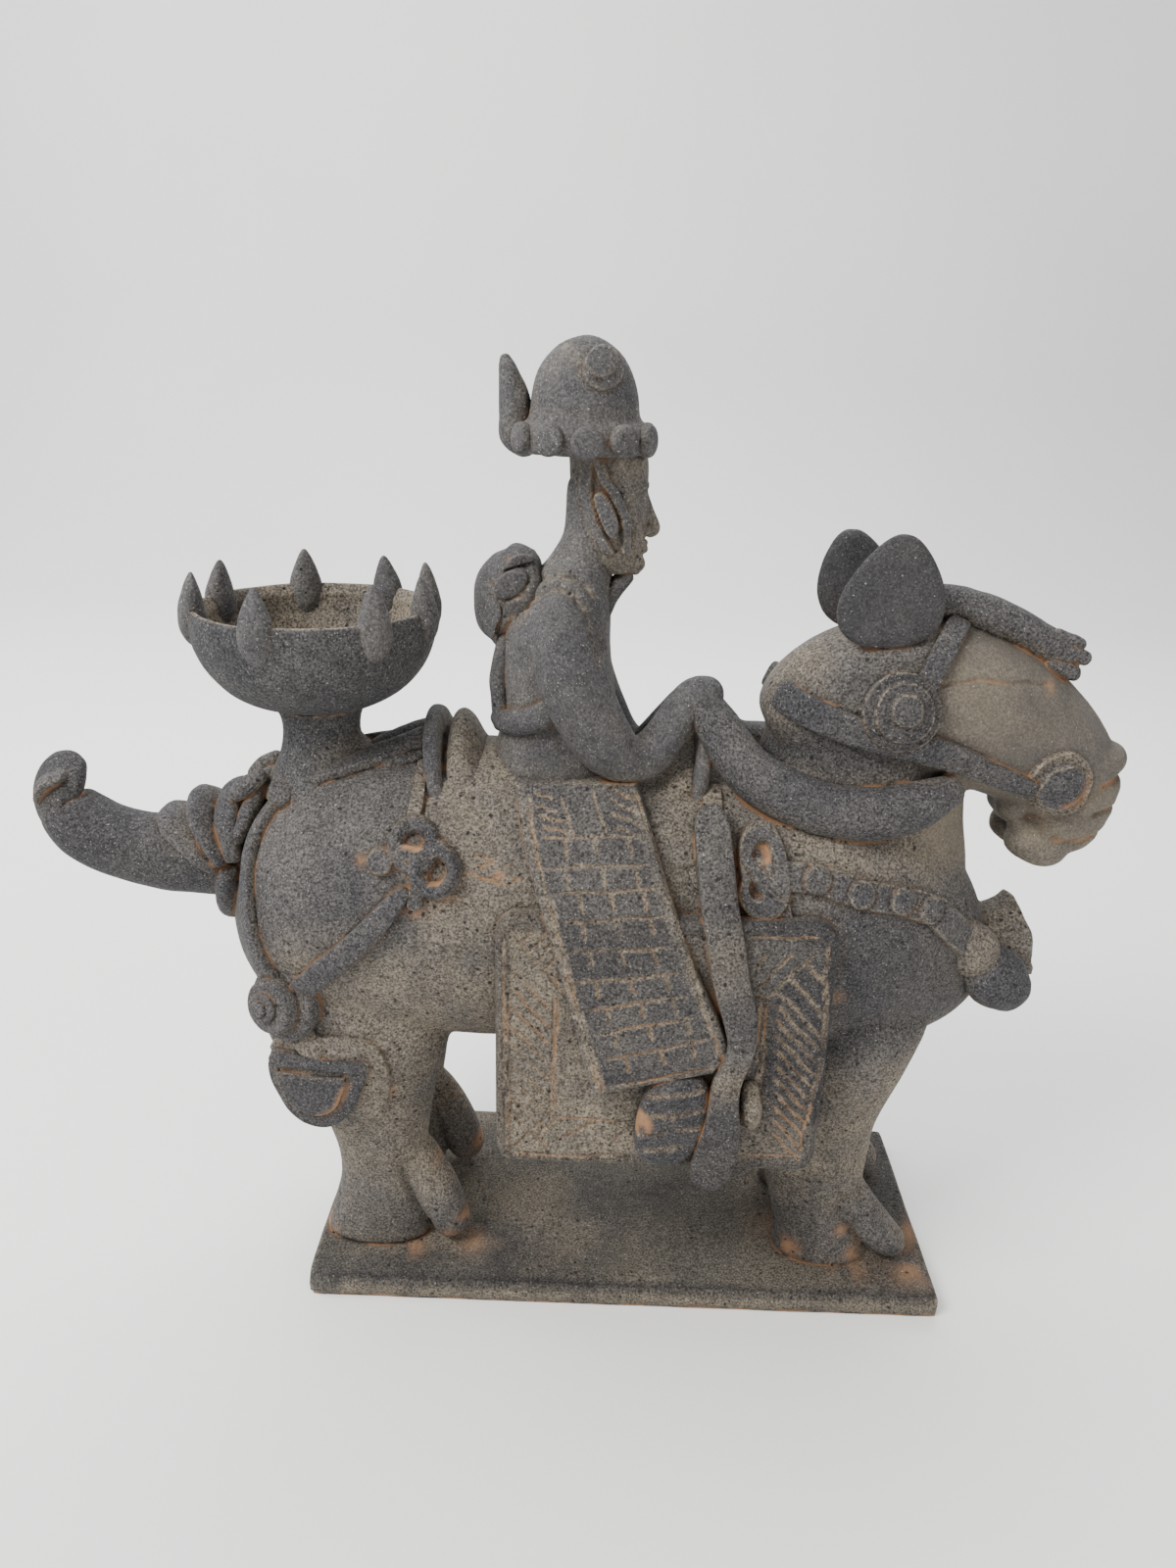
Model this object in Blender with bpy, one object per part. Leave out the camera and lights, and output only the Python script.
"""Horse and rider vessel: a hollow stoneware horse with a cup on its rump and a spout at its chest.

The whole work is one fired piece. +X is where the horse looks, -Y is its near side, +Z is up, and the slab's
underside is at Z = 0.
"""

import math

import bmesh
import bpy
from mathutils import Vector
from mathutils.bvhtree import BVHTree

MM = 0.001

# Driving dimensions: the figure as a whole, above the slab
FIGURE_HEIGHT = 252 * MM
FIGURE_PARTS = 252

# Driving dimensions: the slab that the hooves stand on
SLAB_LENGTH = 181 * MM
SLAB_WIDTH_HEAD = 75 * MM
SLAB_WIDTH_TAIL = 79.5 * MM
SLAB_NEAR_REACH = 35.5 * MM
SLAB_THICKNESS = 6.5 * MM
SLAB_EDGE = 1.2 * MM
SLAB_FLAKE = 7 * MM

# Driving dimensions: the hollow belly and its two mouths
BODY_WALL = 5.5 * MM
STEM_BORE = 7.5 * MM
SPOUT_BORE = 9 * MM
SPOUT_WALL = 4.6 * MM
SPOUT_LENGTH = 18.5 * MM
SPOUT_FLARE = 2.2 * MM

# Driving dimensions: the cup on the rump
CUP_RIM_RADIUS = 30.6 * MM
CUP_BELLY_RADIUS = 31.1 * MM
CUP_DEPTH = 26 * MM
CUP_WALL = 4 * MM
STEM_RADIUS = 8.8 * MM
STEM_RISE = 18.5 * MM
TOOTH_LENGTH = 18 * MM
TOOTH_WIDTH = 9 * MM
TOOTH_THICKNESS = 5.5 * MM
TOOTH_ANGLES = (-102, -48, -10, 22, 62, 109, 160, 200)

# Driving dimensions: the clay laid on the body
STRAP_WIDTH = 7 * MM
STRAP_THICKNESS = 2.4 * MM
STIRRUP_STRAP_WIDTH = 10.5 * MM
FLAP_THICKNESS = 4.2 * MM
FLAP_CORNER = 5 * MM
PANEL_THICKNESS = 7 * MM
PANEL_EDGE = 1.2 * MM
EAR_THICKNESS = 5 * MM
ARCH_THICKNESS = 5.6 * MM
BUTTON_RADIUS = 3.5 * MM
BUTTON_HEIGHT = 2.6 * MM
ROUNDEL_RADIUS = 9.4 * MM
BOSS_RADIUS = 5.1 * MM
BIT_RADIUS = 6.5 * MM
SINK = 1.6 * MM

# How finely the forms are cut
CLAY_GRAIN = 1.0 * MM
FIGURE_FACES = 7600
BODY_SIDES = 22
LIMB_SIDES = 12
TUBE_SIDES = 8
CUP_SIDES = 28
EAR_SIDES = 16
FOLD_STEPS = 6
ARCH_STEPS = 12
BOWL_SWEEP = math.radians(100)

UNIT = FIGURE_HEIGHT / FIGURE_PARTS
NEAR = -1
FAR = 1
SIDES = (NEAR, FAR)
CLAY = (0.135, 0.128, 0.122, 1.0)

# Where the straight ways start that find the horse's skin: behind it, above it and beside it
BEHIND = -140
ABOVE = 180
ASIDE = 90

# The trunk, from tail to chest: place along the horse, middle height, half width, half height
TRUNK = (
    (-112, 101, 4.5, 6), (-109, 101.5, 12, 14.5), (-103, 103.5, 21.5, 25), (-94, 105.5, 29, 33.5),
    (-80, 107.5, 33, 39.5), (-60, 109, 34.5, 41.5), (-35, 109, 34.5, 42.5), (-10, 108.5, 34.5, 41.5),
    (20, 107.5, 34.5, 41), (45, 106.5, 34, 41), (65, 104.5, 31, 38), (80, 101.5, 25, 31),
    (90, 98, 18, 21.5), (95.5, 95, 11, 13.5), (98, 94, 4.5, 6),
)

# The neck, upwards: middle along the horse, height, half length, half width
NECK = (
    (62, 100, 30, 24), (60, 121.5, 30, 22.5), (58.5, 135.5, 28.5, 19.5), (58, 148.5, 28, 17),
    (58, 161.5, 24, 14.5), (58, 173, 15, 10),
)

# The head, poll to lips: middle along the horse, height, droop in degrees, half height, half width
HEAD = (
    (34, 155, -30, 10, 9), (42, 160, -25, 17, 14), (55, 164.5, -10, 22, 17.5), (70, 166, 5, 23, 18.5),
    (85, 163.5, 18, 20.5, 17), (98, 158, 30, 18, 14.5), (109, 150, 37, 15, 12.5),
    (116.5, 140.5, 53, 12, 11.5), (119.5, 131.5, 66, 9.5, 10), (119.5, 123, 80, 5.5, 7),
)

# The legs, downwards: along the horse, out from the middle, height, half length, half width
HIND_LEG = (
    (-80, 14, 93, 24, 14), (-75.5, 17.5, 73, 26, 13.5), (-74.5, 17.8, 64, 22, 12.8),
    (-72.5, 17.2, 54, 17.8, 11.6), (-70.8, 15.6, 38, 13.8, 10.3), (-70, 14.5, 22, 13.2, 9.3),
    (-69.5, 13.8, 8, 17, 8.6), (-70.5, 13.8, -1, 20, 9),
)
FORE_LEG = (
    (64, 15, 88, 20, 14), (60, 17.2, 68, 17, 12.7), (57, 16.4, 55, 15.5, 11.4), (55.5, 15.4, 44, 14.7, 10.5),
    (54.8, 14.8, 32, 15.2, 9.9), (57.5, 14.3, 16, 14, 9.4), (62, 14.4, 4, 14.5, 9.4), (63.5, 14.6, -1, 17, 9.8),
)

# Where the cup's stem and the spout's bore start: along, out, height
CUP_FOOT = (-85, 0, 142)
SPOUT_ROOT = (90, 0, 97.5)

# One almond of the cup's rim, upwards: share of its height, share of its fullness
TOOTH_PROFILE = ((0.0, 0.3), (0.2, 0.85), (0.45, 1.0), (0.75, 0.62), (1.0, 0.12))

# Toes, tail, reins, horn and limbs of the rider: along, out, height and radius
HIND_TOE = ((-60.5, 16, 30, 6), (-55, 17, 18, 6.5), (-50.8, 17, 6.5, 6))
FORE_TOE = ((68, 16.5, 21, 6.3), (74.5, 17.5, 12.5, 6.8), (79.5, 17.5, 6, 6))
TAIL = (
    (-104, 0, 108, 11), (-112, 0, 111, 10.8), (-120, 0, 113.6, 10.4), (-132, 0, 116, 9.9),
    (-144, 0, 119, 9.3), (-153, 0, 125, 8), (-158, 0, 130.5, 7.9), (-161, 0, 135, 6),
)
REIN = (
    (36, 19.5, 146, 6.9), (48, 20.5, 142.8, 7), (60, 20.5, 142.6, 6.9), (70, 19, 144.5, 6.2),
    (78, 16.5, 148.5, 4.8),
)
NEAR_REIN = ((12, 9, 167, 5.3), (17.8, 12.5, 161.5, 5.9), (25.5, 17, 152, 6.4), *REIN)
FAR_REIN = ((12, 5, 162.5, 5), (18, 9, 157.5, 5.5), (26, 14.5, 149, 6.2), *REIN)
FORELOCK = (
    (70, 0, 191, 3.8), (77, 0, 192.3, 4.4), (85.4, 0, 190.2, 4.7), (94.4, 0, 186.3, 4.5),
    (104, 0, 181.3, 4.4), (110, 0, 177.5, 3.4),
)
NEAR_ARM = (
    (-21, 14, 186, 8), (-18.5, 18, 175, 8.8), (-12.5, 19.5, 162, 8.2), (-6.5, 18, 153.5, 7),
    (0.5, 15, 152.3, 6), (6.5, 12, 159.5, 5.7), (11, 9.5, 167.5, 5.3), (15.5, 8.5, 169, 4.8),
)
FAR_ARM = (
    (-21, 14, 186, 8), (-18.5, 18, 174, 8.8), (-13, 18.5, 159, 8), (-6.5, 16, 149, 6.8),
    (0.5, 12, 147, 5.8), (6.5, 8, 154.5, 5.4), (11.5, 5.5, 162, 5), (15.5, 5, 163.5, 4.6),
)
FOOT = ((8, 38, 82, 8.5), (9, 41.5, 71, 9.3), (12, 43.5, 60, 8.8), (15.5, 44, 51.5, 5.5))
STIRRUP = ((25, 41.5, 86, 4.8), (23, 43.5, 72, 5.6), (23.5, 45, 60, 6.6), (24, 45, 52, 4.8))
CHEST_BELL = ((85, 17, 108, 4.5), (92, 16.5, 101.5, 6.2), (98.5, 16.5, 95.5, 9), (103, 16.5, 91, 7.2))

# The armoured leg, downwards: out from the middle, then its rear and front edge as (along, height)
LEG_PANEL = (
    (22, (-30.5, 147.5), (-1, 148)), (31, (-26, 136.5), (5.5, 136)), (38, (-20.4, 118.5), (12.2, 119.5)),
    (42, (-12.2, 91), (23.4, 92.5)), (42.5, (-8.8, 72), (23.6, 80)),
)
STIRRUP_STRAP = (
    (17.5, 21, 143), (18, 26, 137), (18.5, 33, 128), (20.5, 38.5, 116), (23, 40.5, 104), (25.5, 41, 91),
    (25, 42, 82),
)

# The rider's body, upwards: along the horse, height, half length, half width
RIDER = (
    (-21, 134, 18.5, 18.5), (-21, 141, 19.5, 20), (-21, 149, 17.5, 19), (-21.5, 159, 15.5, 17),
    (-23, 173, 14.5, 17.5), (-22.5, 184, 13.5, 18), (-20.5, 191, 11.5, 14.5), (-18.5, 197, 9.5, 10),
    (-14.5, 204, 7, 7), (-13, 210, 6.2, 7), (-13, 226, 6, 7),
)
RIDER_HEAD = (
    (-7.5, 196.5, 4, 4), (-8.5, 200, 7.3, 6.5), (-9.5, 206, 9.2, 8.2), (-10, 212, 9.4, 9),
    (-10.3, 219, 9.4, 9.2), (-11, 226, 9.2, 9),
)
RIDER_NOSE = ((-0.6, 207, 3.2, 3), (0.2, 209.5, 2.6, 2.2), (-1.4, 214, 1.8, 1.2))
BACK_BUNDLE = (-35, 0, 188.5, 6.5, 8.5, 10.5)

# The hat: its middle, then radius and height of its turned outline
HAT_MIDDLE = -17
HAT = (
    (13.5, 225.5), (15.6, 226.5), (15.8, 230.5), (13, 231.5), (12.9, 236), (12, 242), (9.6, 247),
    (5.6, 250.8), (1.5, 252),
)
HAT_BUTTONS = 10

# The ring that the hat's buttons lie on: radius and height. The boss: height, how far out, radius
HAT_BAND = (15.2, 228.8)
HAT_BOSS = (239, 11.2, 4)
HAT_HORN = ((-33, 0, 227.5, 4.6), (-34.3, 0, 235.5, 3.4), (-35.2, 0, 242, 2.5), (-37, 0, 247.2, 1.4))

# The ears: side, middle along the horse, height of the middle, lean of the tip, half width, half height
EARS = ((NEAR, 58.5, 196.5, 1.2, 12.6, 13.2), (FAR, 58.5, 194.5, -6.5, 12, 13))
EAR_SPREAD = 13
EAR_ROOT = ((57.5, 5, 178, 6), (58, 8, 184, 5.5), (58.5, 10, 190, 4))

# Harness laid on the sides of the body: along the horse, height
CHEEK_BAND = (
    (32, 170.5), (35, 169), (39.6, 166.9), (46.7, 164.3), (54.8, 162.2), (63.1, 160.5), (71.1, 158.7),
    (80.6, 155.2), (90.7, 151), (98.1, 148.4),
)
BROW_STRAP = ((68, 176.5), (71.4, 181.4), (76, 184.8), (79, 186))
ROUNDEL = (62.3, 168.2)
BOSS = (64.5, 170.4)
BIT = (105.5, 149)
BREAST_BAND = (
    (35.7, 128.4), (44, 128.1), (55.3, 123.9), (66.5, 121.8), (75, 118.5), (82.3, 110.6), (88, 105),
)
CRUPPER_SIDE = ((9.5, 137), (12, 132), (16, 125.5), (21.2, 115.7), (23.8, 107.3), (25.8, 98.3))
CRUPPER_TOP = ((-93, 8), (-89, 9), (-79, 10.5), (-70, 8.5), (-61, 5), (-55, 3))
HANGING_STRAP = ((-55.5, 147), (-55, 142), (-54.5, 137))
BREECHING = ((-88, 90), (-84.1, 94.6), (-75.8, 102.9), (-67.8, 110.9), (-61.9, 118), (-57.1, 124.3))
BELL = (-92, 87.7)
PENDANT = (-81.5, 61)

# The pendant's pad and plate: half length and half height, and where the plate's top is cut flat
PENDANT_PAD = (15.8, 14.5)
PENDANT_PLATE = (12.8, 10.5)
PLATE_TOP = 0.72

# Loops of cord on the rump and the chest: along, height, radius, thickness, stretch
RUMP_LOOPS = ((-56, 132.5, 4.6, 3.8, 1), (-51, 127, 4.2, 3.8, 1))
BREAST_LOOP = (29.5, 131, 5, 3.4, 1.2)

# The nub by the loops: along, height, radius. The knot on the back: along, out, radius
KNOT_NUB = (-63, 129.2, 3.2)
BACK_KNOT = (-60, -3, 7)
CRUPPER_KNOB_RADIUS = 3.6 * MM

# The bell's steps: how far out each stands, its radius and its height
BELL_STEPS = ((0, 8.2, 4), (3.6, 6.4, 4), (7.2, 3, 2.4))

# Clay folded over or under the tail's root: foot (along, out, height), crest (along, height), radius
TAIL_FOLDS = (
    ((-114, 10.5, 115.5), (-125.5, 126), 4.6), ((-111.5, 11, 119), (-118.5, 128.5), 4.2),
    ((-109, 11.5, 121), (-111, 131), 4), ((-109, 12, 119), (-101, 138), 3.2),
    ((-109.5, 11.5, 116), (-111.5, 101.5), 4),
)

# The cap at the tail's tip: along, out, height, radius, thickness
TAIL_CAP = (-160, 0, 131, 8.8, 4.5)

# The mud flap: its low rear and high front corners as (along, height), and how far out its back lies
FLAP_CORNERS = ((-35, 46.5), (49, 118.5))
FLAP_BACK = 33.5

# The saddle, tail to head: place along the horse, middle height, half width, half height
SEAT = (
    (-47, 139, 19, 15), (-40, 136.5, 21.5, 11.5), (-30, 135, 23, 9), (-5, 135, 23, 9.5), (6, 138, 21.5, 12),
    (15, 141, 17, 14.5),
)

# The arches behind and before the rider: place along the horse, height of the top, half width
SADDLE_ARCHES = ((-52, 160.3, 23), (11.5, 167, 20))
ARCH_FOOT = 128


def place(x, y, z):
    """A point of the figure, in parts of its height, with z counted from the top of the slab."""
    return Vector((x * UNIT, y * UNIT, SLAB_THICKNESS + z * UNIT))


def keep(name, bm):
    """Turns a bmesh into an object with its faces pointing out."""
    bmesh.ops.recalc_face_normals(bm, faces=bm.faces)
    mesh = bpy.data.meshes.new(name)
    bm.to_mesh(mesh)
    bm.free()
    shape = bpy.data.objects.new(name, mesh)
    bpy.context.scene.collection.objects.link(shape)
    return shape


def loft(name, rings):
    """A closed skin over rings that all have the same number of points."""
    bm = bmesh.new()
    loops = [[bm.verts.new(point) for point in ring] for ring in rings]
    count = len(loops[0])
    for low, high in zip(loops, loops[1:]):
        for i in range(count):
            j = (i + 1) % count
            bm.faces.new((low[i], low[j], high[j], high[i]))
    bm.faces.new(loops[0][::-1])
    bm.faces.new(loops[-1])
    return keep(name, bm)


def oval(centre, first, second, sides, turn=0.0):
    """An ellipse of points round a centre, given its two half axes as vectors."""
    angles = [turn + math.tau * i / sides for i in range(sides)]
    return [centre + first * math.cos(a) + second * math.sin(a) for a in angles]


def smooth(points, steps=2):
    """Points of any size on a smooth curve through the given ones."""
    rows = [Vector(point) for point in points]
    rows = [2 * rows[0] - rows[1], *rows, 2 * rows[-1] - rows[-2]]
    curve = []
    for a, b, c, d in zip(rows, rows[1:], rows[2:], rows[3:]):
        for i in range(steps):
            t = i / steps
            curve.append(0.5 * (2 * b + (c - a) * t + (2 * a - 5 * b + 4 * c - d) * t**2
                                + (3 * b - a - 3 * c + d) * t**3))
    return [*curve, rows[-2]]


def frames(path):
    """For each point of a path, its direction and two vectors across it that don't twist."""
    across = None
    found = []
    for i, point in enumerate(path):
        ahead = (path[min(i + 1, len(path) - 1)] - path[max(i - 1, 0)]).normalized()
        if across is None:
            across = ahead.orthogonal().normalized()
        across = (across - ahead * across.dot(ahead)).normalized()
        found.append((point, ahead, across, ahead.cross(across)))
    return found


def roll(name, rows, side=1, sides=TUBE_SIDES, steps=2):
    """A round coil of clay along rows of (x, y, z, radius), with rounded ends."""
    curve = smooth([Vector((x, y * side, z, radius)) for x, y, z, radius in rows], steps)
    radii = [row[3] * UNIT for row in curve]
    track = frames([place(row[0], row[1], row[2]) for row in curve])
    rings = []
    for (point, _, first, second), radius in zip(track, radii):
        rings.append(oval(point, first * radius, second * radius, sides))
    for index, reach in ((0, -0.45), (-1, 0.45)):
        point, ahead, first, second = track[index]
        radius = radii[index]
        end = oval(point + ahead * reach * radius, first * radius * 0.6, second * radius * 0.6, sides)
        rings.insert(0 if index == 0 else len(rings), end)
    return loft(name, rings)


def turned(name, outline, foot, axis, sides):
    """A turned shape: radius and height above the foot, along an axis."""
    axis = axis.normalized()
    first = axis.orthogonal().normalized()
    second = axis.cross(first)
    return loft(name, [oval(foot + axis * h, first * r, second * r, sides) for r, h in outline])


def slab_shape(name, outline, depth):
    """A flat outline of points pushed by a vector, with its edges eased."""
    bm = bmesh.new()
    face = bm.faces.new([bm.verts.new(point) for point in outline])
    pushed = bmesh.ops.extrude_face_region(bm, geom=[face])
    moved = [item for item in pushed["geom"] if isinstance(item, bmesh.types.BMVert)]
    bmesh.ops.translate(bm, verts=moved, vec=depth)
    return keep(name, bm)


def trunk_rings(inset=0.0):
    """Rings of the trunk, or of the hollow that lies one wall inside it."""
    start, end = place(TRUNK[0][0], 0, 0).x, place(TRUNK[-1][0], 0, 0).x
    middle = (start + end) / 2
    shrink = 1 - 2 * inset / (end - start)
    rings = []
    for x, z, half_width, half_height in TRUNK:
        wide, high = half_width * UNIT - inset, half_height * UNIT - inset
        if min(wide, high) < inset:
            continue
        centre = place(x, 0, z)
        centre.x = middle + (centre.x - middle) * shrink
        rings.append(oval(centre, Vector((0, wide, 0)), Vector((0, 0, high)), BODY_SIDES))
    return rings


def upright_rings(rows, side=0, sides=LIMB_SIDES):
    """Level rings from rows of (x, z, half length, half width), with y after x where a side is given."""
    rings = []
    for row in rows:
        x, y, z, half_length, half_width = row if side else (row[0], 0, *row[1:])
        centre = place(x, y * side, z)
        along, across = Vector((half_length * UNIT, 0, 0)), Vector((0, half_width * UNIT, 0))
        rings.append(oval(centre, along, across, sides))
    return rings


def head_rings():
    """Rings across the horse's drooping head."""
    rings = []
    for x, z, droop, half_height, half_width in HEAD:
        tilt = math.radians(droop)
        up = Vector((math.sin(tilt), 0, math.cos(tilt))) * half_height * UNIT
        rings.append(oval(place(x, 0, z), Vector((0, half_width * UNIT, 0)), up, 16))
    return rings


def skin_of(shapes):
    """One search tree over the outer skin of several shapes."""
    points, faces = [], []
    for shape in shapes:
        shift = len(points)
        points.extend(vertex.co.copy() for vertex in shape.data.vertices)
        faces.extend([shift + i for i in face.vertices] for face in shape.data.polygons)
    return BVHTree.FromPolygons(points, faces)


def land(skin, x, y, z, direction):
    """Where a straight way from a point of the figure meets the skin, and which way the skin faces there."""
    hit, normal, _, _ = skin.ray_cast(place(x, y, z), Vector(direction).normalized())
    if hit is None:
        hit, normal, _, _ = skin.find_nearest(place(x, y, z))
    return hit, normal


def from_side(skin, side, x, z):
    """The skin met from one side of the horse."""
    return land(skin, x, side * ASIDE, z, (0, -side, 0))


def strap(name, spots, width=STRAP_WIDTH, thickness=STRAP_THICKNESS):
    """A flat strip of clay pressed on at the given spots, each a place and the way the skin faces."""
    points = smooth([spot[0] for spot in spots], 2)
    normals = smooth([spot[1] for spot in spots], 2)
    rings = []
    for (point, ahead, _, _), normal in zip(frames(points), normals):
        out = (normal - ahead * normal.dot(ahead)).normalized()
        side = ahead.cross(out) * width / 2
        rings.append([
            point - side - out * SINK, point - side + out * thickness * 0.5,
            point - side * 0.6 + out * thickness, point + side * 0.6 + out * thickness,
            point + side + out * thickness * 0.5, point + side - out * SINK,
        ])
    return loft(name, rings)


def button(name, spot, radius=BUTTON_RADIUS, height=BUTTON_HEIGHT, sides=10):
    """A round pat of clay pressed on at a spot."""
    point, normal = spot
    outline = ((radius * 0.9, -SINK), (radius, height * 0.4), (radius * 0.62, height))
    return turned(name, outline, point, normal, sides)


def pat(name, skin, side, middle, halves, thickness, flat_top=1.0, sides=14):
    """A pat of clay that follows the skin, round or with a flat top, round a middle given as (x, z)."""
    rings = []
    for share, rise in ((0.5, 1.0), (0.88, 1.0), (1.0, 0.45), (1.0, None)):
        ring = []
        for i in range(sides):
            angle = math.tau * i / sides
            up = min(math.sin(angle), flat_top) * share
            point, normal = from_side(skin, side, middle[0] + halves[0] * math.cos(angle) * share,
                                      middle[1] + halves[1] * up)
            ring.append(point + normal * (-SINK if rise is None else thickness * rise))
        rings.append(ring)
    return loft(name, rings)


def loop(name, spot, radius, thickness, stretch=1.0, sides=10):
    """A ring of clay cord lying on the skin."""
    point, normal = spot
    first = normal.orthogonal().normalized()
    first = (Vector((1, 0, 0)) - normal * normal.x).normalized() if abs(normal.x) < 0.9 else first
    second = normal.cross(first)
    bm = bmesh.new()
    circles = []
    for i in range(sides):
        angle = math.tau * i / sides
        out = first * math.cos(angle) * stretch + second * math.sin(angle)
        middle = point + out * radius + normal * thickness * 0.2
        way = out.normalized()
        ring = [middle + (way * math.cos(a) + normal * math.sin(a)) * thickness / 2
                for a in (math.pi / 4 + math.tau * k / 5 for k in range(5))]
        circles.append([bm.verts.new(co) for co in ring])
    for i in range(sides):
        one, two = circles[i], circles[(i + 1) % sides]
        for k in range(5):
            m = (k + 1) % 5
            bm.faces.new((one[k], one[m], two[m], two[k]))
    return keep(name, bm)


def cord_loop(name, skin, side, row):
    """A loop of cord on one side, from a row of (x, z, radius, thickness, stretch)."""
    x, z, radius, thickness, stretch = row
    return loop(name, from_side(skin, side, x, z), radius * UNIT, thickness * UNIT, stretch)


def rounded_box(low, high, corner, steps=3):
    """Points of an upright rectangle with rounded corners, from (x, z) to (x, z)."""
    middles = (
        (high[0] - corner, high[1] - corner), (low[0] + corner, high[1] - corner),
        (low[0] + corner, low[1] + corner), (high[0] - corner, low[1] + corner),
    )
    points = []
    for quarter, (x, z) in enumerate(middles):
        for i in range(steps):
            angle = math.pi / 2 * (quarter + i / (steps - 1))
            points.append((x + corner * math.cos(angle), z + corner * math.sin(angle)))
    return points


def slab():
    """The plate under the hooves, wider at the tail, with eased edges and a flake lost from a corner."""
    half = SLAB_LENGTH / 2
    near = -SLAB_NEAR_REACH
    bm = bmesh.new()
    bmesh.ops.create_cube(bm, size=1.0)
    for vertex in bm.verts:
        width = SLAB_WIDTH_HEAD if vertex.co.x > 0 else SLAB_WIDTH_TAIL
        vertex.co.x = math.copysign(half, vertex.co.x)
        vertex.co.y = near + width if vertex.co.y > 0 else near
        vertex.co.z = SLAB_THICKNESS if vertex.co.z > 0 else 0
    bmesh.ops.bevel(bm, geom=bm.edges, offset=SLAB_EDGE, segments=1, affect="EDGES")
    corner = Vector((-half + SLAB_FLAKE / 2, near + SLAB_FLAKE / 3, SLAB_THICKNESS))
    cut = bmesh.ops.bisect_plane(
        bm, geom=[*bm.verts, *bm.edges, *bm.faces], plane_co=corner, plane_no=Vector((-0.7, -1, 0.55)),
        clear_outer=True,
    )
    rim = [item for item in cut["geom_cut"] if isinstance(item, bmesh.types.BMEdge)]
    bmesh.ops.edgeloop_fill(bm, edges=rim)
    return keep("slab", bm)


def cup_foot():
    """The point on the rump that the cup's stem rises from."""
    return place(*CUP_FOOT)


def bowl_outline(inset, steps=7):
    """Radius and height of the bowl, outside or one wall inside, from its floor to its rim."""
    floor = STEM_RISE + inset
    depth = CUP_DEPTH - inset
    widest = CUP_BELLY_RADIUS - inset
    narrow = STEM_RADIUS * 0.9
    points = []
    for i in range(1, steps + 1):
        angle = BOWL_SWEEP * i / steps
        reach = narrow + (widest - narrow) * math.sin(angle) ** 1.05
        points.append((reach, floor + depth * (1 - math.cos(angle)) / (1 - math.cos(BOWL_SWEEP))))
    points[-1] = (CUP_RIM_RADIUS - inset, points[-1][1])
    return points


def cup():
    """The cup with its waisted stem."""
    stem = [
        (STEM_RADIUS * 1.75, -10 * UNIT), (STEM_RADIUS * 1.5, 0), (STEM_RADIUS * 1.15, STEM_RISE * 0.3),
        (STEM_RADIUS, STEM_RISE * 0.6), (STEM_RADIUS * 1.1, STEM_RISE),
    ]
    return turned("cup", [*stem, *bowl_outline(0)], cup_foot(), Vector((0, 0, 1)), CUP_SIDES)


def teeth():
    """The almonds of clay that stand round the rim."""
    made = []
    middle = cup_foot() + Vector((0, 0, STEM_RISE + CUP_DEPTH))
    for angle in TOOTH_ANGLES:
        turn = math.radians(angle)
        out = Vector((math.cos(turn), math.sin(turn), 0))
        along = Vector((-out.y, out.x, 0))
        rings = []
        for height, fullness in TOOTH_PROFILE:
            lean = CUP_RIM_RADIUS - CUP_WALL * 0.3 * height
            centre = middle + out * lean + Vector((0, 0, (height - 0.5) * TOOTH_LENGTH))
            rings.append(oval(centre, along * TOOTH_WIDTH / 2 * fullness,
                              out * TOOTH_THICKNESS / 2 * fullness, 7))
        made.append(loft("tooth", rings))
    return made


def spout_root():
    """The middle of the spout's bore, inside the chest."""
    return place(*SPOUT_ROOT)


def spout():
    """The short chipped spout at the chest, flared at its mouth."""
    outer = SPOUT_BORE / 2 + SPOUT_WALL
    outline = ((outer, -8 * UNIT), (outer, SPOUT_LENGTH * 0.5), (outer + SPOUT_FLARE, SPOUT_LENGTH))
    return turned("spout", outline, spout_root(), Vector((1, 0, 0.12)), LIMB_SIDES)


def hollows():
    """What is scooped out: belly, cup, and the two bores that join them to the outside."""
    belly = loft("hollow_belly", trunk_rings(BODY_WALL))
    bowl = [(STEM_BORE / 2, STEM_RISE + CUP_WALL), *bowl_outline(CUP_WALL)]
    bowl.append((CUP_RIM_RADIUS - CUP_WALL, STEM_RISE + CUP_DEPTH * 1.5))
    cup_inside = turned("hollow_cup", bowl, cup_foot(), Vector((0, 0, 1)), CUP_SIDES)
    reach = ((STEM_BORE / 2, -30 * UNIT), (STEM_BORE / 2, STEM_RISE + CUP_WALL * 2))
    stem_bore = turned("hollow_stem", reach, cup_foot(), Vector((0, 0, 1)), LIMB_SIDES)
    way = ((SPOUT_BORE / 2, -24 * UNIT), (SPOUT_BORE / 2, SPOUT_LENGTH * 0.6),
           (SPOUT_BORE / 2 + SPOUT_FLARE, SPOUT_LENGTH * 1.1))
    spout_bore = turned("hollow_spout", way, spout_root(), Vector((1, 0, 0)), LIMB_SIDES)
    return [belly, cup_inside, stem_bore, spout_bore]


def body_forms():
    """The big forms of the horse: trunk, neck, head, legs, toes and tail."""
    forms = [
        loft("trunk", trunk_rings()), loft("neck", upright_rings(NECK, sides=16)), loft("head", head_rings()),
        roll("tail", TAIL, sides=10),
    ]
    for side in SIDES:
        for rows, toe in ((HIND_LEG, HIND_TOE), (FORE_LEG, FORE_TOE)):
            forms.append(loft("leg", upright_rings(rows, side)))
            forms.append(roll("toe", toe, side))
    return forms


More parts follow.
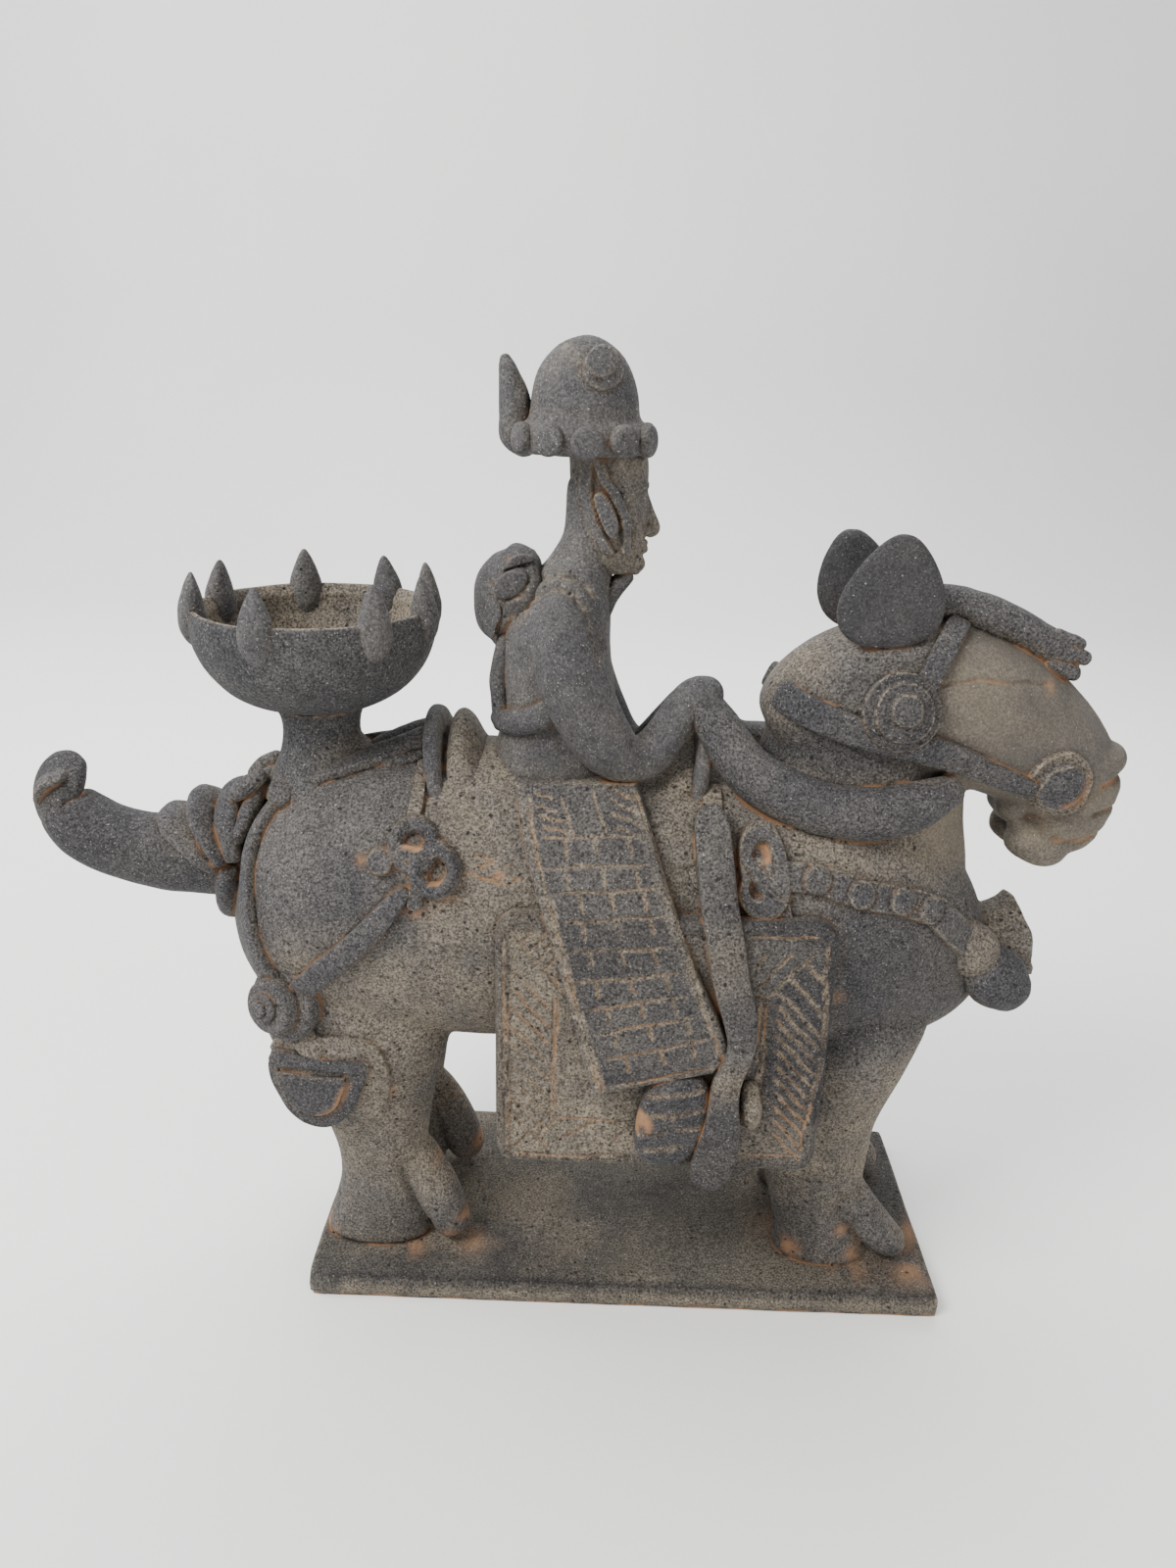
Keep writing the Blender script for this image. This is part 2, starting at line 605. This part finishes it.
def ears():
    """Two leaf-shaped ears that stand up from the cheeks, fullest below their middle."""
    made = []
    for side, x, z, lean, half_width, half_height in EARS:
        outline = []
        for i in range(EAR_SIDES):
            angle = math.tau * i / EAR_SIDES
            up = -math.cos(angle)
            wide = half_width * math.sin(angle) * (1 - 0.13 * up - 0.22 * up**3)
            outline.append(place(x + wide + lean * up, side * (EAR_SPREAD - up), z + half_height * up))
        made.append(slab_shape("ear", outline, Vector((0, -side * EAR_THICKNESS, 0))))
        made.append(roll("ear_root", EAR_ROOT, side))
    return made


def face_tack(skin):
    """The bridle on both cheeks: cheek band, stepped roundel, brow strap and bit."""
    made = []
    for side in SIDES:
        made.append(strap("cheek_band", [from_side(skin, side, x, z) for x, z in CHEEK_BAND]))
        brow = [from_side(skin, side, x, z) for x, z in BROW_STRAP]
        made.append(strap("brow_strap", brow, STRAP_WIDTH * 0.9))
        roundel = from_side(skin, side, *ROUNDEL)
        made.append(button("roundel", roundel, ROUNDEL_RADIUS, STRAP_THICKNESS * 1.7, 14))
        point, normal = from_side(skin, side, *BOSS)
        raised = (point + normal * STRAP_THICKNESS, normal)
        made.append(button("boss", raised, BOSS_RADIUS, BUTTON_HEIGHT * 1.2))
        made.append(button("bit", from_side(skin, side, *BIT), BIT_RADIUS, BUTTON_HEIGHT, 12))
    return made


def saddle(skin):
    """Seat, the two arches, and on each side a mud flap."""
    rings = [oval(place(x, 0, z), Vector((0, wide * UNIT, 0)), Vector((0, 0, high * UNIT)), 16)
             for x, z, wide, high in SEAT]
    made = [loft("seat", rings)]
    for x, top, wide in SADDLE_ARCHES:
        turns = [math.pi * i / ARCH_STEPS for i in range(ARCH_STEPS + 1)]
        rise = top - ARCH_FOOT
        outline = [place(x, wide * math.cos(a), ARCH_FOOT + rise * math.sin(a) ** 0.8) for a in turns]
        made.append(slab_shape("saddle_arch", outline, Vector((ARCH_THICKNESS, 0, 0))))
    for side in SIDES:
        corners = rounded_box(*FLAP_CORNERS, FLAP_CORNER / UNIT)
        outline = [place(x, side * FLAP_BACK, z) for x, z in corners]
        made.append(slab_shape("flap", outline, Vector((0, side * (FLAP_THICKNESS + UNIT), 0))))
    return made


def leg_armour():
    """On each side the rider's armoured leg, its foot, and the stirrup strap with its end."""
    made = []
    for side in SIDES:
        rings = []
        inward = Vector((0, -side, 0))
        for out, left, right in LEG_PANEL:
            rear, front = place(left[0], side * out, left[1]), place(right[0], side * out, right[1])
            along = (front - rear).normalized() * PANEL_EDGE
            rings.append([
                rear + inward * PANEL_THICKNESS, rear + inward * PANEL_EDGE, rear + along,
                front - along, front + inward * PANEL_EDGE, front + inward * PANEL_THICKNESS,
            ])
        made.append(loft("panel", rings))
        made.append(roll("foot", FOOT, side, steps=1))
        made.append(roll("stirrup", STIRRUP, side, steps=1))
        spots = [(place(x, side * y, z), Vector((0, side, 0.25))) for x, y, z in STIRRUP_STRAP]
        made.append(strap("stirrup_strap", spots, STIRRUP_STRAP_WIDTH, STRAP_THICKNESS * 1.7))
    return made


def rump_tack(skin):
    """The harness over the rump: straps, knots, the stepped bell and the rounded pendant on each side."""
    made = []
    for side in SIDES:
        back = [land(skin, BEHIND, side * y, z, (1, 0, 0)) for y, z in CRUPPER_SIDE]
        made.append(strap("crupper_side", back))
        low = [from_side(skin, side, x, z) for x, z in BREECHING]
        made.append(strap("breeching", low))
        top = [land(skin, x, side * y, ABOVE, (0, 0, -1)) for x, y in CRUPPER_TOP]
        made.append(strap("crupper_top", top))
        made.append(button("crupper_knob", top[0], CRUPPER_KNOB_RADIUS, BUTTON_HEIGHT * 1.5))
        hang = [from_side(skin, side, x, z) for x, z in HANGING_STRAP]
        made.append(strap("hanging_strap", hang, STRAP_WIDTH * 0.8, STRAP_THICKNESS * 0.7))
        for row in RUMP_LOOPS:
            made.append(cord_loop("knot", skin, side, row))
        x, z, radius = KNOT_NUB
        made.append(button("knot_nub", from_side(skin, side, x, z), radius * UNIT))
        point, _ = from_side(skin, side, *BELL)
        facing = Vector((-0.8, side * 0.6, 0))
        for reach, radius, height in BELL_STEPS:
            spot = (point + facing * reach * UNIT, facing)
            made.append(button("bell", spot, radius * UNIT, height * UNIT, 12))
        made.append(pat("pendant_pad", skin, side, PENDANT, PENDANT_PAD, STRAP_THICKNESS * 1.3))
        made.append(pat("pendant", skin, side, PENDANT, PENDANT_PLATE, STRAP_THICKNESS * 2.4, PLATE_TOP))
    x, y, radius = BACK_KNOT
    middle = land(skin, x, y, ABOVE, (0, 0, -1))
    made.append(button("back_knot", middle, radius * UNIT, BUTTON_HEIGHT * 1.3, 12))
    return made


def chest_tack(skin):
    """The breast band with its buttons and knot, and a bell on each side of the spout."""
    made = []
    for side in SIDES:
        landed = [from_side(skin, side, x, z) for x, z in BREAST_BAND]
        made.append(strap("breast_band", landed, STRAP_WIDTH * 1.25))
        for point, normal in landed[1:-1]:
            made.append(button("breast_button", (point + normal * STRAP_THICKNESS * 0.6, normal)))
        made.append(cord_loop("breast_knot", skin, side, BREAST_LOOP))
        made.append(roll("chest_bell", CHEST_BELL, side))
    return made


def tail_dressing():
    """Frills and a band over the root of the tail, a collar under it, and the cap at its tip."""
    made = []
    for foot, crest, radius in TAIL_FOLDS:
        rows = []
        for i in range(FOLD_STEPS + 1):
            turn = math.pi * (i / FOLD_STEPS - 0.5)
            rise = math.cos(turn)
            rows.append((foot[0] + (crest[0] - foot[0]) * rise, foot[1] * math.sin(turn),
                         foot[2] + (crest[1] - foot[2]) * rise, radius))
        made.append(roll("tail_fold", rows, steps=1))
    x, y, z, radius, height = TAIL_CAP
    tip = (place(x, y, z), Vector((-0.6, 0, 0.8)))
    made.append(button("tail_cap", tip, radius * UNIT, height * UNIT, 12))
    return made


def rider_forms():
    """The rider: body, head, arms, hat and the bundle on the back."""
    made = [
        loft("rider", upright_rings(RIDER, sides=14)), loft("rider_head", upright_rings(RIDER_HEAD)),
        roll("hat_horn", HAT_HORN, steps=1),
    ]
    made.append(loft("nose", upright_rings(RIDER_NOSE, sides=6)))
    hat = [(r * UNIT, h * UNIT) for r, h in HAT]
    made.append(turned("hat", hat, place(HAT_MIDDLE, 0, 0), Vector((0, 0, 1)), 16))
    reach, level = HAT_BAND
    for i in range(HAT_BUTTONS):
        turn = math.tau * (i + 0.35) / HAT_BUTTONS
        out = Vector((math.cos(turn), math.sin(turn), 0))
        spot = place(HAT_MIDDLE + reach * out.x, reach * out.y, level)
        made.append(button("hat_button", (spot, out), BUTTON_RADIUS * 0.95, BUTTON_HEIGHT, 8))
    crown = Vector((0.28, NEAR, 0.45)).normalized()
    level, reach, radius = HAT_BOSS
    boss = place(HAT_MIDDLE, 0, level) + crown * reach * UNIT
    made.append(button("hat_boss", (boss, crown), radius * UNIT))
    x, y, z, long, wide, high = BACK_BUNDLE
    rings = []
    for i in range(1, 6):
        angle = math.pi * i / 6
        full = math.sin(angle) * UNIT
        centre = place(x, y, z - high * math.cos(angle))
        rings.append(oval(centre, Vector((long * full, 0, 0)), Vector((0, wide * full, 0)), 10))
    made.append(loft("back_bundle", rings))
    for side, arm, rein in ((NEAR, NEAR_ARM, NEAR_REIN), (FAR, FAR_ARM, FAR_REIN)):
        made.append(roll("arm", arm, side))
        made.append(roll("rein", rein, side))
    return made


def settled(shape):
    """Replaces a shape by what its modifiers make of it."""
    graph = bpy.context.evaluated_depsgraph_get()
    mesh = bpy.data.meshes.new_from_object(shape.evaluated_get(graph))
    made = bpy.data.objects.new(shape.name, mesh)
    bpy.data.objects.remove(shape)
    bpy.context.scene.collection.objects.link(made)
    return made


def model_as_one(forms):
    """Works overlapping lumps of clay into one skin of few faces."""
    bm = bmesh.new()
    for form in forms:
        bm.from_mesh(form.data)
        bpy.data.objects.remove(form)
    figure = keep("figure", bm)
    worked = figure.modifiers.new("worked", "REMESH")
    worked.mode = "VOXEL"
    worked.voxel_size = CLAY_GRAIN
    figure = settled(figure)
    fewer = figure.modifiers.new("fewer", "DECIMATE")
    fewer.ratio = FIGURE_FACES / (2 * len(figure.data.polygons))
    return settled(figure)


def largest_shell(shape):
    """Clears the specks that the working leaves in folds of the clay, and keeps the one skin."""
    bm = bmesh.new()
    bm.from_mesh(shape.data)
    left = set(bm.faces)
    shells = []
    while left:
        shell = [left.pop()]
        for face in shell:
            for edge in face.edges:
                touching = [other for other in edge.link_faces if other in left]
                left.difference_update(touching)
                shell.extend(touching)
        shells.append(shell)
    shells.sort(key=len)
    specks = [face for shell in shells[:-1] for face in shell]
    bmesh.ops.delete(bm, geom=specks, context="FACES")
    bm.to_mesh(shape.data)
    bm.free()
    return shape


def carve(figure, added, cutters):
    """Joins the crisp pieces to the figure, then scoops the hollows out."""
    helpers = [*added, *cutters]
    for shape in helpers:
        shape.hide_render = True
        shape.display_type = "WIRE"
        step = figure.modifiers.new(shape.name, "BOOLEAN")
        step.operation = "UNION" if shape in added else "DIFFERENCE"
        step.object = shape
        step.solver = "EXACT"
    vessel = settled(figure)
    for shape in helpers:
        bpy.data.objects.remove(shape)
    return vessel


def clay():
    """Unglazed grey stoneware."""
    material = bpy.data.materials.new("grey_stoneware")
    material.use_nodes = True
    shader = material.node_tree.nodes["Principled BSDF"]
    shader.inputs["Base Color"].default_value = CLAY
    shader.inputs["Roughness"].default_value = 0.82
    shader.inputs["Metallic"].default_value = 0.0
    return material


def build():
    """Builds the vessel."""
    for item in list(bpy.data.objects):
        bpy.data.objects.remove(item)
    forms = body_forms()
    skin = skin_of(forms)
    forms += [*teeth(), spout(), *ears(), *saddle(skin), *leg_armour(), roll("forelock", FORELOCK)]
    forms += [*face_tack(skin), *rump_tack(skin), *chest_tack(skin), *tail_dressing(), *rider_forms()]
    vessel = largest_shell(carve(model_as_one(forms), [slab(), cup()], hollows()))
    vessel.name = "horse_and_rider_vessel"
    vessel.data.materials.clear()
    vessel.data.materials.append(clay())
    vessel.data.shade_smooth()
    vessel.data.set_sharp_from_angle(angle=math.radians(40))


build()
